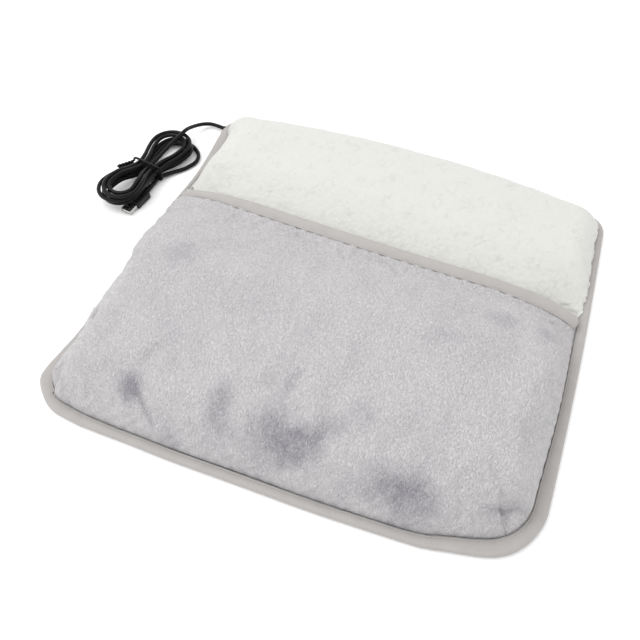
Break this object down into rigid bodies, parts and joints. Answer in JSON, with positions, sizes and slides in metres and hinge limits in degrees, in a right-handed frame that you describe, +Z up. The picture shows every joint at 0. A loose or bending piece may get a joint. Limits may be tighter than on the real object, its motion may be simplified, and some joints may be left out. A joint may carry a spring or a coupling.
{
  "type": "electric foot warmer",
  "caption": "Heated floor pad with a padded foot pocket at the toe end, a fleecy rear cushion, taped edges and a USB lead tied in a hank.",
  "frame": {"origin": "middle of the pad's outline on its underside, without the cord", "axes": "+X across the pad, from the cord's side to the other; +Y from the toe end to the open rear end; +Z up from the floor"},
  "size_m": [0.5356, 0.4513, 0.055],
  "materials": {
    "underside_fabric": "plain woven",
    "wadding": "needled polyester wadding",
    "felt": "pressed felt",
    "sherpa": "curly sherpa pile",
    "binding_tape": "twill tape",
    "plush": "short brushed pile",
    "cord_jacket": "semi-gloss soft PVC",
    "cutout_case": "satin",
    "heat_shrink": "satin",
    "wire_silicone": "silicone sleeve",
    "lead_red": "silicone sleeve",
    "plug_plastic": "fine moulded texture",
    "plug_metal": "nickel plated",
    "tongue_plastic": "smooth",
    "contact_metal": "plated"
  },
  "bodies": {
    "base": {"underside_cover": "underside_fabric", "base_wadding_lower": "wadding", "heater_carrier": "felt", "base_wadding_upper": "wadding", "base_sherpa": "sherpa", "perimeter_binding": "binding_tape", "cord_anchor": "cord_jacket", "thermal_cutout": "cutout_case", "solder_sleeve_supply": "heat_shrink", "solder_sleeve_return": "heat_shrink", "heating_wire": "wire_silicone", "supply_lead": "lead_red", "return_lead": "wire_silicone", "cord_free_stretch": "cord_jacket", "cord_hank": "cord_jacket", "cord_twist_tie": "cord_jacket", "plug_strain_relief": "cord_jacket", "plug_body": "plug_plastic", "plug_shell": "plug_metal", "plug_tongue": "tongue_plastic", "plug_contact_1": "contact_metal", "plug_contact_2": "contact_metal", "plug_contact_3": "contact_metal", "plug_contact_4": "contact_metal"},
    "cover": {"cover_plush": "plush", "cover_wadding": "wadding", "cover_lining": "sherpa", "mouth_binding": "binding_tape"}
  },
  "joints": [
    {"name": "cover_lift", "type": "hinge", "parent": "base", "child": "cover", "pos_m": [0, -0.2153, 0.008], "axis": [1, 0, 0], "range_deg": [0, 12]}
  ]
}
